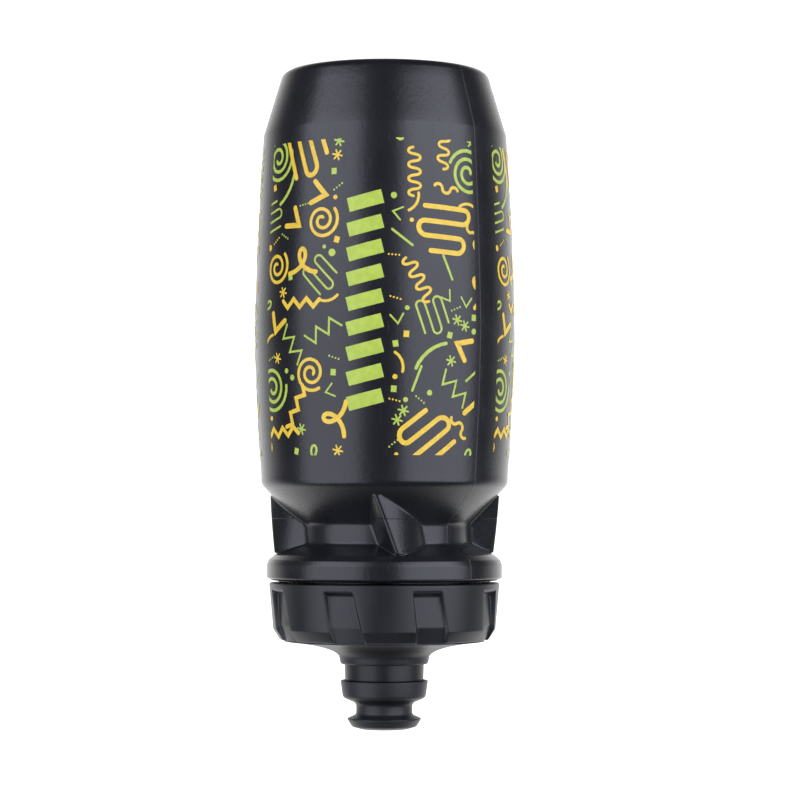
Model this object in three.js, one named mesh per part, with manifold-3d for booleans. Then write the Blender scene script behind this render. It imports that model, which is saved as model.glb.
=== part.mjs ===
// A squeezable bicycle drinking bottle with a screw cap and a push-pull valve.
// Millimetres, +Z up. The origin is the middle of the base, on the surface the bottle stands on.
import * as THREE from 'three';
import { mergeVertices } from 'three/addons/utils/BufferGeometryUtils.js';
import Module from 'manifold-3d';

const wasm = await Module();
wasm.setup();

// ---------------------------------------------------------------- driving dimensions

// Bottle body
const bellyRadius = 38.15;         // widest part of the barrel
const bellyHeight = 75.0;          // height of the widest part
const footRadius = 27.8;           // ring the bottle stands on
const footRounding = 2.6;
const taperTopRadius = 35.7;       // crease where the lower taper meets the barrel
const taperTopHeight = 18.8;
const shoulderRadius = 36.1;       // barrel just under the shoulder
const shoulderHeight = 118.3;
const shoulderRounding = 6.5;
const bodyWall = 1.4;
const pushUpRadius = 19.0;         // hollow pressed up into the base
const pushUpHeight = 3.0;

// Waist and collar above the shoulder, each height counted from the one below
const grooveRadius = 25.1;
const shoulderToGroove = 14.3;
const grooveWidth = 5.7;
const grooveToCollarEdge = 4.6;
const collarEdgeWidth = 1.4;
const collarWidth = 3.9;
const collarOverhang = 0.7;        // collar past the cap

// Ribs that bridge the waist
const ribCount = 4;
const ribLean = 19.4;              // degrees from upright
const ribTurn = -1.9;              // degrees of the first rib from the front
const ribStart = 5.9;              // above the shoulder
const ribPastGroove = 2.6;
const ribLowRadius = 33.6;         // crest at the shoulder end
const ribCrestDrop = 1.4;          // how much nearer the axis the collar end is
const ribCrestWidth = 1.2;
const ribNearFoot = 6.0;           // reach of each flank at the waist, from the crest
const ribFarFoot = 11.6;

// Neck
const neckRadius = 28.6;
const neckWall = 2.6;
const neckLength = 13.7;
const seatStep = 2.4;              // step that shows between collar and cap
const seatWidth = 1.1;

// Screw thread
const threadPitch = 4.0;
const threadTurns = 1.5;
const threadDepth = 1.1;
const threadRootWidth = 1.9;
const threadCrestWidth = 0.8;
const threadRise = 4.3;            // start of the neck's ridge above its seat
const threadGap = 0.35;            // clearance on the diameter's two sides

// Screw cap
const capWall = 3.65;
const capDraft = 1.2;              // how much narrower the ring is at its top
const capBevelHeight = 3.2;
const capBevelWidth = 1.8;
const deckThickness = 2.0;
const recessCount = 8;
const recessDepth = 2.1;
const recessWidth = 8.6;
const recessFlare = 1.4;           // extra width at the top
const recessStart = 2.3;           // above the lower rim
const recessLean = 10.0;
const firstRecess = -68.9;         // degrees from the front

// Gasket
const gasketThickness = 1.1;
const gasketGap = 0.05;
const gasketLap = 1.5;             // reach past the mouth's edge

// Soft dome over the cap
const domeHeight = 7.1;
const domeRim = 3.3;               // rim of the cap left bare round the dome
const domeCuff = 0.9;              // thickness of its edge round the post
const domeCuffHeight = 2.3;
const domeThickness = 1.5;

// Nozzle post, fixed in the cap
const postLowRadius = 11.8;
const postDraft = 0.35;
const postWall = 2.05;
const postLipDepth = 0.8;          // lip that the valve's barb catches under
const postLipThickness = 1.8;
const postFlangeReach = 2.8;
const postFlangeThickness = 1.2;
const spokeCount = 3;
const spokeWidth = 1.4;
const spokeHeight = 2.4;
const pinRadius = 2.4;

// Sliding valve: hard core and soft mouthpiece
const valveTravel = 3.8;
const slideGap = 0.35;             // between the core and the post's lip, and round the pin
const coreBarbThickness = 1.5;
const coreTail = 2.4;              // core below its barb
const coreStep = 1.65;             // how much slimmer the core is under the mouthpiece
const coreNeckWall = 1.3;
const coreBeadHeight = 1.3;        // bead that holds the mouthpiece
const skirtStop = 1.0;             // skirt above the dome when the valve is shut
const skirtLap = 0.4;              // skirt below the post's top when it is open
const skirtGap = 0.8;
const skirtWall = 0.55;
const skirtDraft = 0.7;
const skirtRoof = 0.5;
const skirtToWaist = 2.1;
const waistCover = 1.6;            // mouthpiece over the core at its waist
const waistWidth = 2.0;
const waistToLip = 2.25;
const lipCover = 2.9;              // mouthpiece over the core's bead at the lip
const lipToTip = 2.95;
const tipCover = 1.0;

const fitGap = 0.3;                // general clearance between separate pieces
const roundSteps = 40;             // facets round a large turned piece
const valveSteps = 32;             // facets round the post and valve
const threadStepsPerTurn = 28;     // facets along one turn of a screw ridge

// ---------------------------------------------------------------- what follows from them

// Heights, from the shoulder up
const grooveLow = shoulderHeight + shoulderToGroove;
const grooveHigh = grooveLow + grooveWidth;
const collarEdgeHeight = grooveHigh + grooveToCollarEdge;
const collarLow = collarEdgeHeight + collarEdgeWidth;
const collarHigh = collarLow + collarWidth;
const seatHeight = collarHigh + seatWidth;
const neckTop = seatHeight + neckLength;
const neckThreadStart = seatHeight + threadRise;
const ribLow = shoulderHeight + ribStart;
const ribHigh = grooveHigh + ribPastGroove;
const capLow = seatHeight + fitGap;
const deckLow = neckTop + gasketThickness + 2 * gasketGap;
const capHigh = deckLow + deckThickness;
const domeTop = capHigh + domeHeight;
const postHigh = domeTop + skirtStop + valveTravel + skirtLap;
const skirtLow = postHigh - skirtLap;
const roofHeight = postHigh + valveTravel + 0.2;   // inside top of the skirt
const skirtHigh = roofHeight + skirtRoof;
const waistLow = skirtHigh + skirtToWaist;
const waistHigh = waistLow + waistWidth;
const lipHeight = waistHigh + waistToLip;
const tipHeight = lipHeight + lipToTip;

// Radii, from the neck outwards and from the post inwards and outwards
const mouthRadius = neckRadius - neckWall;
const seatRadius = neckRadius + seatStep;
const capBoreRadius = neckRadius + threadDepth + threadGap;
const capLowRadius = capBoreRadius + capWall;
const capHighRadius = capLowRadius - capDraft;
const collarRadius = capLowRadius + collarOverhang;
const domeRadius = capHighRadius - domeRim;
const domeTopRadius = postLowRadius + domeCuff;
const postHighRadius = postLowRadius - postDraft;
const postBoreRadius = postHighRadius - postWall;
const postLipRadius = postBoreRadius - postLipDepth;
const postFlangeRadius = postLowRadius + postFlangeReach;
const postHole = postLowRadius + fitGap;
const coreRadius = postLipRadius - slideGap;
const coreBarbRadius = postBoreRadius - fitGap;
const coreNeckRadius = coreRadius - coreStep;
const coreBoreRadius = coreNeckRadius - coreNeckWall;
const coreBeadRadius = coreNeckRadius + coreBeadHeight;
const skirtRadius = postHighRadius + skirtGap + skirtWall;
const skirtTopRadius = skirtRadius - skirtDraft;
const waistRadius = coreNeckRadius + waistCover;
const lipRadius = coreBeadRadius + lipCover;
const tipRadius = coreBeadRadius + tipCover;
const tipHoleRadius = pinRadius + slideGap;

// ---------------------------------------------------------------- helpers

const radians = THREE.MathUtils.degToRad;

function toSolid(geometry) {
  const plain = geometry.index ? geometry.toNonIndexed() : geometry.clone();
  plain.deleteAttribute('normal');
  plain.deleteAttribute('uv');
  const merged = mergeVertices(plain, 1e-5);
  const mesh = new wasm.Mesh({
    numProp: 3,
    vertProperties: merged.attributes.position.array,
    triVerts: new Uint32Array(merged.index.array),
  });
  return new wasm.Manifold(mesh);
}

function toGeometry(solid) {
  const mesh = solid.getMesh();
  const geometry = new THREE.BufferGeometry();
  geometry.setAttribute('position', new THREE.BufferAttribute(mesh.vertProperties, 3));
  geometry.setIndex(new THREE.BufferAttribute(mesh.triVerts, 1));
  geometry.computeVertexNormals();
  return geometry;
}

// Turns a closed outline of [radius, height] points, given anticlockwise, about the Z axis.
function turned(outline, steps = roundSteps) {
  const profile = outline.map(([radius, height]) => new THREE.Vector2(radius, height));
  profile.push(profile[0].clone());
  const geometry = new THREE.LatheGeometry(profile, steps);
  geometry.rotateX(Math.PI / 2);
  return toSolid(geometry);
}

// Points of a round corner from one angle to another, in degrees.
function corner(centreRadius, centreHeight, rounding, from, to, steps) {
  const points = [];
  for (let step = 0; step <= steps; step += 1) {
    const angle = radians(from + (to - from) * step / steps);
    points.push([
      centreRadius + rounding * Math.cos(angle),
      centreHeight + rounding * Math.sin(angle),
    ]);
  }
  return points;
}

// Points between two ends, bulging outwards from the straight line as a parabola does.
function bulged(start, end, bulge, steps) {
  const points = [];
  for (let step = 1; step < steps; step += 1) {
    const part = step / steps;
    points.push([
      start[0] + (end[0] - start[0]) * part + bulge * 4 * part * (1 - part),
      start[1] + (end[1] - start[1]) * part,
    ]);
  }
  return points;
}

function addNode(parent, name, solid, colour, roughness) {
  const material = new THREE.MeshStandardMaterial({ color: colour, roughness, metalness: 0 });
  const mesh = new THREE.Mesh(toGeometry(solid), material);
  mesh.name = name;
  parent.add(mesh);
}

// A screw ridge: a straight bar of the tooth's section, wound round the Z axis.
// side is 1 for a ridge that stands out from a neck and -1 for one that stands in from a cap.
function screwRidge(wallRadius, side, startHeight) {
  const sunk = 0.4;
  const fade = 0.12;
  const steps = Math.round(threadTurns * threadStepsPerTurn);
  const section = new THREE.Shape();
  section.moveTo(-sunk, -threadRootWidth / 2);
  section.lineTo(0, -threadRootWidth / 2);
  section.lineTo(threadDepth, -threadCrestWidth / 2);
  section.lineTo(threadDepth, threadCrestWidth / 2);
  section.lineTo(0, threadRootWidth / 2);
  section.lineTo(-sunk, threadRootWidth / 2);
  section.closePath();
  const bar = new THREE.ExtrudeGeometry(section, { depth: 1, steps, bevelEnabled: false });
  const place = bar.attributes.position;
  for (let index = 0; index < place.count; index += 1) {
    const along = place.getZ(index);
    const ends = Math.min(1, along / fade, (1 - along) / fade);
    const rise = Math.max(0, place.getX(index)) * ends;
    const out = Math.min(0, place.getX(index)) + rise;
    const angle = along * threadTurns * 2 * Math.PI;
    const radius = wallRadius + side * out;
    const height = startHeight + along * threadTurns * threadPitch + place.getY(index);
    place.setXYZ(index, radius * Math.cos(angle), radius * Math.sin(angle), height);
  }
  const solid = toSolid(bar);
  return solid.volume() < 0 ? toSolid(flipped(bar)) : solid;
}

function flipped(geometry) {
  const plain = geometry.index ? geometry.toNonIndexed() : geometry.clone();
  const place = plain.attributes.position;
  const a = new THREE.Vector3();
  const b = new THREE.Vector3();
  for (let index = 0; index < place.count; index += 3) {
    a.fromBufferAttribute(place, index);
    b.fromBufferAttribute(place, index + 1);
    place.setXYZ(index, b.x, b.y, b.z);
    place.setXYZ(index + 1, a.x, a.y, a.z);
  }
  return plain;
}

// ---------------------------------------------------------------- bottle body

// The bottle's outside, or its inside when inset is the wall thickness. top is where it stops.
function barrelOutline(inset, top) {
  const foot = footRounding - inset;
  const taperAngle = Math.atan2(taperTopRadius - footRadius - footRounding, taperTopHeight);
  const cornerEnd = -THREE.MathUtils.radToDeg(taperAngle);
  const creaseRadius = taperTopRadius - inset;
  const barrelTop = shoulderRadius - inset;
  const slope = shoulderRounding - inset;
  const shoulderCentre = shoulderRadius - shoulderRounding;
  const neckEdge = inset > 0 ? mouthRadius : seatRadius;
  const collarTurn = inset > 0 ? collarHigh - inset : collarHigh;
  return [
    [0, pushUpHeight + inset],
    [pushUpRadius - inset, pushUpHeight + inset],
    [footRadius - footRounding, inset],
    ...corner(footRadius, footRounding, foot, -90, cornerEnd, 3),
    [creaseRadius, taperTopHeight],
    ...bulged([creaseRadius, taperTopHeight], [bellyRadius - inset, bellyHeight], 0.28, 4),
    [bellyRadius - inset, bellyHeight],
    ...bulged([bellyRadius - inset, bellyHeight], [barrelTop, shoulderHeight], 0.3, 3),
    ...corner(shoulderCentre, shoulderHeight, slope, 0, 50, 4),
    [grooveRadius - inset, grooveLow],
    [grooveRadius - inset, grooveHigh],
    [grooveRadius + 6.6 - inset, grooveHigh + 3.2 + inset / 2],
    [collarRadius - 0.6 - inset, collarEdgeHeight + inset / 2],
    [collarRadius - inset, collarLow],
    [collarRadius - inset, collarTurn - 0.2],
    [collarRadius - 1.2 - inset, collarTurn + 0.6],
    [neckEdge, collarTurn + 0.7],
    [neckEdge, top],
    [0, top],
  ];
}

// A leaning fin that bridges the waist, without its wall where inset is the wall thickness.
function ribSolid(inset) {
  const root = grooveRadius - 3;
  const crest = ribLowRadius - inset;
  const half = Math.max(0.2, ribCrestWidth / 2 - inset / 3);
  const section = new THREE.Shape();
  section.moveTo(-ribNearFoot + inset, root);
  section.lineTo(ribFarFoot - inset, root);
  section.lineTo(half, crest);
  section.lineTo(-half, crest);
  section.closePath();
  const length = (ribHigh - ribLow) - 2 * inset;
  const fin = new THREE.ExtrudeGeometry(section, { depth: length, bevelEnabled: false });
  fin.translate(0, 0, -length / 2);
  const place = fin.attributes.position;
  const crestDrop = ribCrestDrop / (ribHigh - ribLow);
  for (let index = 0; index < place.count; index += 1) {
    const height = place.getZ(index);
    const lean = height * Math.tan(radians(ribLean));
    const radius = place.getY(index);
    const drop = radius > root ? crestDrop * (height + length / 2) : 0;
    const middle = (ribLow + ribHigh) / 2;
    place.setXYZ(index, -(place.getX(index) + lean), -(radius - drop), middle + height);
  }
  const solid = toSolid(fin);
  return solid.volume() < 0 ? toSolid(flipped(fin)) : solid;
}

function bottleShell(inset, top) {
  let solid = turned(barrelOutline(inset, top));
  for (let index = 0; index < ribCount; index += 1) {
    solid = solid.add(ribSolid(inset).rotate([0, 0, ribTurn + 360 * index / ribCount]));
  }
  return solid;
}

function bottleBody() {
  const neck = turned([
    [0, collarHigh - bodyWall],
    [neckRadius, collarHigh - bodyWall],
    [neckRadius, neckTop - 0.4],
    [neckRadius - 0.4, neckTop],
    [0, neckTop],
  ]);
  const outside = bottleShell(0, seatHeight)
    .add(neck)
    .add(screwRidge(neckRadius, 1, neckThreadStart));
  return outside.subtract(bottleShell(bodyWall, neckTop + 1));
}

// ---------------------------------------------------------------- screw cap

const flangeLow = deckLow + 1.2;
const flangeSeat = flangeLow + postFlangeThickness + 0.2;

// The dome's outer surface: nearly flat at the rim, then sweeping up to the post.
function domeCurve(thickness, steps) {
  const start = new THREE.Vector2(domeRadius, capHigh + 0.5 - thickness);
  const knee = new THREE.Vector2(domeTopRadius + 2.3, capHigh + 2.0 - thickness);
  const end = new THREE.Vector2(
    domeTopRadius + 0.55 - thickness * 0.1,
    domeTop - domeCuffHeight - thickness,
  );
  const curve = new THREE.QuadraticBezierCurve(start, knee, end);
  return curve.getPoints(steps).map((point) => [point.x, point.y]);
}

function recessCutters() {
  const floorLow = capLowRadius - recessDepth;
  const floor = turned([
    [0, capLow - 1],
    [floorLow, capLow - 1],
    [floorLow, capHigh - capBevelHeight - 1.4],
    [floorLow - capBevelWidth, capHigh + 1],
    [0, capHigh + 1],
  ]);
  const half = recessWidth / 2;
  const outline = new THREE.Shape();
  outline.moveTo(-half, capLow + recessStart);
  outline.lineTo(half, capLow + recessStart);
  outline.lineTo(half + recessFlare / 2, capHigh + 2);
  outline.lineTo(-half - recessFlare / 2, capHigh + 2);
  outline.closePath();
  const slot = new THREE.ExtrudeGeometry(outline, { depth: capLowRadius, bevelEnabled: false });
  const middle = (capLow + capHigh) / 2;
  slot.translate(0, -middle, 0);
  slot.rotateZ(radians(recessLean));
  slot.translate(0, middle, floorLow - 6);
  slot.rotateX(Math.PI / 2);
  const single = toSolid(slot);
  let all = single.rotate([0, 0, firstRecess]);
  for (let index = 1; index < recessCount; index += 1) {
    all = all.add(single.rotate([0, 0, firstRecess + 360 * index / recessCount]));
  }
  return all.subtract(floor);
}

function screwCap() {
  const cone = domeCurve(domeThickness, 5);
  const flangeRoom = postFlangeRadius + fitGap;
  const blank = turned([
    [postHole, flangeSeat],
    [flangeRoom, flangeSeat],
    [flangeRoom, flangeLow - 0.2],
    [flangeRoom + 7, deckLow],
    [capBoreRadius, deckLow],
    [capBoreRadius, capLow + 0.6],
    [capBoreRadius + 0.6, capLow],
    [capLowRadius - 0.35, capLow],
    [capLowRadius, capLow + 0.35],
    [capHighRadius, capHigh - capBevelHeight],
    [capHighRadius - capBevelWidth, capHigh - 0.3],
    [capHighRadius - capBevelWidth - 0.4, capHigh],
    [domeRadius + 0.1, capHigh],
    ...cone,
    [postHole, cone[cone.length - 1][1]],
  ]);
  const ridgeStart = neckThreadStart - threadPitch / 2;
  return blank
    .subtract(recessCutters())
    .add(screwRidge(capBoreRadius, -1, ridgeStart));
}

function capGasket() {
  const low = neckTop + gasketGap;
  const high = low + gasketThickness;
  return turned([
    [mouthRadius - gasketLap, low],
    [capBoreRadius - fitGap, low],
    [capBoreRadius - fitGap, high],
    [mouthRadius - gasketLap, high],
  ]);
}

function capDome() {
  const outer = domeCurve(0, 7);
  const inner = domeCurve(domeThickness - 0.1, 5).reverse();
  return turned([
    [postHole, inner[0][1]],
    ...inner,
    ...outer,
    [domeTopRadius + 0.1, domeTop - 0.3],
    [domeTopRadius - 0.2, domeTop],
    [postHole, domeTop],
  ]);
}

// ---------------------------------------------------------------- nozzle

function nozzlePost() {
  const low = flangeLow;
  const lipLow = postHigh - postLipThickness;
  const shell = turned([
    [postBoreRadius, low],
    [postFlangeRadius, low],
    [postFlangeRadius, low + postFlangeThickness],
    [postLowRadius, low + postFlangeThickness],
    [postHighRadius, postHigh - 0.5],
    [postHighRadius - 0.7, postHigh],
    [postLipRadius, postHigh],
    [postLipRadius, lipLow],
    [postBoreRadius, lipLow],
  ], valveSteps);
  const pinTop = tipHeight - 1.0 - valveTravel;
  let solid = turned([
    [0, low],
    [pinRadius + 0.6, low],
    [pinRadius, low + spokeHeight + 0.6],
    [pinRadius, pinTop - 0.6],
    [pinRadius - 0.6, pinTop],
    [0, pinTop],
  ], valveSteps / 2);
  for (let index = 0; index < spokeCount; index += 1) {
    const spoke = new THREE.BoxGeometry(postBoreRadius + 0.3, spokeWidth, spokeHeight);
    spoke.translate((postBoreRadius + 0.3) / 2, 0, low + spokeHeight / 2);
    solid = solid.add(toSolid(spoke).rotate([0, 0, 30 + 360 * index / spokeCount]));
  }
  return shell.add(solid);
}

const barbTop = postHigh - postLipThickness - fitGap;

function valveCore() {
  const barbLow = barbTop - coreBarbThickness;
  const neckHigh = lipHeight + 0.2;
  return turned([
    [coreBoreRadius, barbLow - coreTail],
    [coreRadius, barbLow - coreTail],
    [coreRadius, barbLow],
    [coreBarbRadius, barbLow + 1.0],
    [coreBarbRadius, barbTop],
    [coreRadius, barbTop],
    [coreRadius, roofHeight - 0.1],
    [coreNeckRadius, roofHeight - 0.1],
    [coreNeckRadius, lipHeight - 1.2],
    [coreBeadRadius, lipHeight - 0.6],
    [coreBeadRadius, neckHigh - 0.5],
    [coreNeckRadius + 0.4, neckHigh],
    [coreBoreRadius, neckHigh],
  ], valveSteps);
}

function mouthpiece() {
  const sleeve = coreNeckRadius + 0.1;
  const bead = coreBeadRadius + 0.1;
  const beadTop = lipHeight + 0.3;
  return turned([
    [skirtRadius - skirtWall, skirtLow],
    [skirtRadius - 0.15, skirtLow],
    [skirtRadius, skirtLow + 0.2],
    [skirtTopRadius, skirtHigh - 0.9],
    [skirtTopRadius - 0.4, skirtHigh - 0.1],
    [skirtTopRadius - 1.2, skirtHigh + 0.5],
    [waistRadius + 1.3, waistLow - 1.0],
    [waistRadius + 0.6, waistLow - 0.5],
    [waistRadius + 0.15, waistLow + 0.1],
    [waistRadius, waistLow + 0.9],
    [waistRadius, waistHigh],
    [waistRadius + 0.5, waistHigh + 0.8],
    [waistRadius + 1.5, waistHigh + 1.5],
    [lipRadius - 0.3, lipHeight - 0.4],
    [lipRadius, lipHeight],
    [lipRadius - 0.9, lipHeight + 1.55],
    [tipRadius, tipHeight - 0.5],
    [tipRadius - 1.4, tipHeight - 0.1],
    [tipRadius - 2.9, tipHeight],
    [tipHoleRadius + 0.4, tipHeight],
    [tipHoleRadius, tipHeight - 0.4],
    [tipHoleRadius, beadTop + 0.6],
    [coreBoreRadius, beadTop],
    [bead, beadTop],
    [bead, lipHeight - 0.7],
    [sleeve, lipHeight - 1.4],
    [sleeve, roofHeight],
    [skirtTopRadius - skirtWall - 0.6, roofHeight],
    [skirtTopRadius - skirtWall, roofHeight - 0.7],
  ], valveSteps);
}

// ---------------------------------------------------------------- assembly

const bottle = new THREE.Group();
addNode(bottle, 'bottle_body', bottleBody(), 0x202228, 0.42);

const cap = new THREE.Group();
addNode(cap, 'screw_cap', screwCap(), 0x24262c, 0.3);
addNode(cap, 'cap_gasket', capGasket(), 0xd8d8d4, 0.6);
addNode(cap, 'cap_dome', capDome(), 0x26282e, 0.5);
addNode(cap, 'nozzle_post', nozzlePost(), 0x222429, 0.4);

const valve = new THREE.Group();
addNode(valve, 'valve_core', valveCore(), 0x222429, 0.4);
addNode(valve, 'mouthpiece', mouthpiece(), 0x292b32, 0.6);

cap.add(valve);
bottle.add(cap);

export default bottle;
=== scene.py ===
# %% [markdown]
# # A squeezable bicycle drinking bottle
# This lesson dresses a finished mechanical model of a cycling bottle. The model brings the real sizes,
# the joints and a plain solid for every piece. Blender brings the fine surface: the ribs that flow out
# of the waist, the leaning finger recesses of the cap, the soft mouthpiece, the printed marks and the
# plastics. The first cell loads the model as a fixed frame and gives a helper that reads a part's box.

# %% Load the frame
import math
import random

import bpy
from mathutils import Matrix, Vector


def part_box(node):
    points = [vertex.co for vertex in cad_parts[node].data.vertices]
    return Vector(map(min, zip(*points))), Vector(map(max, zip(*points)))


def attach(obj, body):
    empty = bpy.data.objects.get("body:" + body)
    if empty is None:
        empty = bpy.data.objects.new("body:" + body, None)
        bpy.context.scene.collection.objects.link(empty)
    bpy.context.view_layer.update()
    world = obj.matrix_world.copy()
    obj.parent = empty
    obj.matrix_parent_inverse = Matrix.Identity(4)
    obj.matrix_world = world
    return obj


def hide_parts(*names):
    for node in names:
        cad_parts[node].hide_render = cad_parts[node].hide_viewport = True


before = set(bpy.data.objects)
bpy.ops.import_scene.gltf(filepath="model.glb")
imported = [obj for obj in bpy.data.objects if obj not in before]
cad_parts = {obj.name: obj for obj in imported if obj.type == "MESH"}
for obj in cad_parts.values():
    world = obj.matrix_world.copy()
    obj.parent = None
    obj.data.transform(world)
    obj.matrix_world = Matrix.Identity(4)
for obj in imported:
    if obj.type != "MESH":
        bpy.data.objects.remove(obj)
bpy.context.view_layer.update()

MM = 0.001

# %% [markdown]
# ## Camera
# The bottle is looked at upside down, as when someone drinks from it, so the camera is rolled half a
# turn instead of turning the bottle: every piece keeps its place in the frame. A long lens a good
# arm's length away keeps the sides nearly parallel. The camera aims a little beside the axis and below
# its own height, which frames the bottle without any lens shift.

# %% The camera
LENS_DISTANCE = 820 * MM
LENS_HEIGHT = 128 * MM
AIM_HEIGHT = 96.2 * MM
AIM_SIDE = -4.5 * MM
ROLL = math.radians(180.07)

camera_data = bpy.data.cameras.new("camera")
camera_data.lens = 125.9
camera_data.sensor_width = 36
camera = bpy.data.objects.new("camera", camera_data)
bpy.context.collection.objects.link(camera)
eye = Vector((AIM_SIDE, -LENS_DISTANCE, LENS_HEIGHT))
look = Vector((AIM_SIDE, 0, AIM_HEIGHT)) - eye
upright = look.to_track_quat("-Z", "Y").to_matrix().to_4x4()
camera.matrix_world = Matrix.Translation(eye) @ upright @ Matrix.Rotation(ROLL, 4, "Z")
bpy.context.scene.camera = camera
print("camera", round(look.length / MM), "mm away")

# %% [markdown]
# ## Light and floor
# Black plastic shows its shape only by what it mirrors. Two tall soft boxes, left and right of the
# camera, draw the two broad bands that run down the barrel, with a dark gap between them. Each has a
# second, low one in front of it, because a soft box is brighter towards its foot. The room is
# white to the eye, but it gives its light only from behind the bottle, where it draws bright edges; in
# front it is dark, so that the plastic between the bands stays black. The floor is white enough to melt
# into the room and gives no light.

# %% The world, the soft boxes and the floor
scene = bpy.context.scene
scene.view_settings.view_transform = "Standard"
scene.view_settings.look = "None"

ROOM_GLOW = 0.09
BACK_GLOW = 1.6
world = bpy.data.worlds.new("white_room")
world.use_nodes = True
room = world.node_tree
background = room.nodes["Background"]
background.inputs["Color"].default_value = (1, 1, 1, 1)
behind = room.nodes.new("ShaderNodeVectorMath")      # how far a direction points back and up
behind.operation = "DOT_PRODUCT"
behind.inputs[1].default_value = (0, 1, 0.5)
room.links.new(room.nodes.new("ShaderNodeTexCoord").outputs["Generated"], behind.inputs[0])
glow = room.nodes.new("ShaderNodeMapRange")          # dark in front of the bottle, white behind it
glow.interpolation_type = "SMOOTHSTEP"
glow.inputs["From Min"].default_value = 0.25
glow.inputs["From Max"].default_value = 0.9
glow.inputs["To Min"].default_value = ROOM_GLOW
glow.inputs["To Max"].default_value = BACK_GLOW
room.links.new(behind.outputs["Value"], glow.inputs["Value"])
backdrop = room.nodes.new("ShaderNodeMath")          # plain white where the camera sees the room itself
backdrop.operation = "MAXIMUM"
room.links.new(glow.outputs["Result"], backdrop.inputs[0])
room.links.new(room.nodes.new("ShaderNodeLightPath").outputs["Is Camera Ray"], backdrop.inputs[1])
room.links.new(backdrop.outputs["Value"], background.inputs["Strength"])
scene.world = world


LAMP_TINT = (0.93, 0.96, 1.1)


def soft_box(name, azimuth, distance, width, height, middle, brightness):
    """A tall lamp facing the bottle; its azimuth runs from the camera's side towards +X, in degrees."""
    lamp_data = bpy.data.lights.new(name, "AREA")
    lamp_data.shape = "RECTANGLE"
    lamp_data.size = width
    lamp_data.size_y = height
    lamp_data.energy = brightness * math.pi * width * height
    lamp_data.color = LAMP_TINT
    lamp = bpy.data.objects.new(name, lamp_data)
    bpy.context.collection.objects.link(lamp)
    turn = math.radians(azimuth)
    side = Vector((math.sin(turn), -math.cos(turn), 0))
    lamp.location = side * distance + Vector((0, 0, middle))
    lamp.rotation_euler = (-side).to_track_quat("-Z", "Y").to_euler()
    lamp.visible_camera = False
    return lamp


soft_box("box_left", 51, 0.9, 1.02, 1.7, 0.08, 2.0)
soft_box("box_right", -50, 0.9, 1.21, 1.3, -0.12, 2.36)
soft_box("low_left", 51, 0.87, 1.02, 0.7, -0.45, 0.7)
soft_box("low_right", -50, 0.87, 1.21, 0.7, -0.45, 0.7)

bpy.ops.mesh.primitive_plane_add(size=6, location=(0, 0, 0))
floor = bpy.context.active_object
floor.name = "floor"
floor.visible_glossy = False
floor.visible_diffuse = False
floor.visible_shadow = False
floor_paint = bpy.data.materials.new("floor_paint")
floor_paint.use_nodes = True
floor_shader = floor_paint.node_tree.nodes["Principled BSDF"]
floor_shader.inputs["Base Color"].default_value = (0.85, 0.85, 0.85, 1)
floor_shader.inputs["Roughness"].default_value = 0.9
floor_shader.inputs["Specular IOR Level"].default_value = 0.1
floor_shader.inputs["Emission Color"].default_value = (1, 1, 1, 1)
floor_shader.inputs["Emission Strength"].default_value = 1.0
floor.data.materials.append(floor_paint)
print("lights:", [item.name for item in bpy.data.lights])

# %% [markdown]
# ## Shader sums as Python
# A procedural finish is a sum of noises, masks and ramps. Wired by hand it is a tangle of Math nodes, so
# one small class wraps a socket and lets Python's own operators add those nodes. Another wraps a
# material, and one method of it makes every other kind of node.

# %% A socket that takes part in sums
class Sum:
    """A number that varies over the surface; + - * and abs() add Math nodes."""

    def __init__(self, finish, socket):
        self.finish = finish
        self.socket = socket

    def math(self, operation, first, second=0.0):
        return self.finish.node("ShaderNodeMath", {"operation": operation}, {0: first, 1: second})

    def __add__(self, other):
        return self.math("ADD", self, other)

    def __radd__(self, other):
        return self.math("ADD", other, self)

    def __sub__(self, other):
        return self.math("SUBTRACT", self, other)

    def __rsub__(self, other):
        return self.math("SUBTRACT", other, self)

    def __mul__(self, other):
        return self.math("MULTIPLY", self, other)

    def __abs__(self):
        return self.math("ABSOLUTE", self)

    def step(self, low, high):
        """0 below low, 1 above high, and a smooth rise between them."""
        settings = {"interpolation_type": "SMOOTHSTEP"}
        return self.finish.node("ShaderNodeMapRange", settings, {0: self, 1: low, 2: high, 3: 0, 4: 1})


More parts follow.
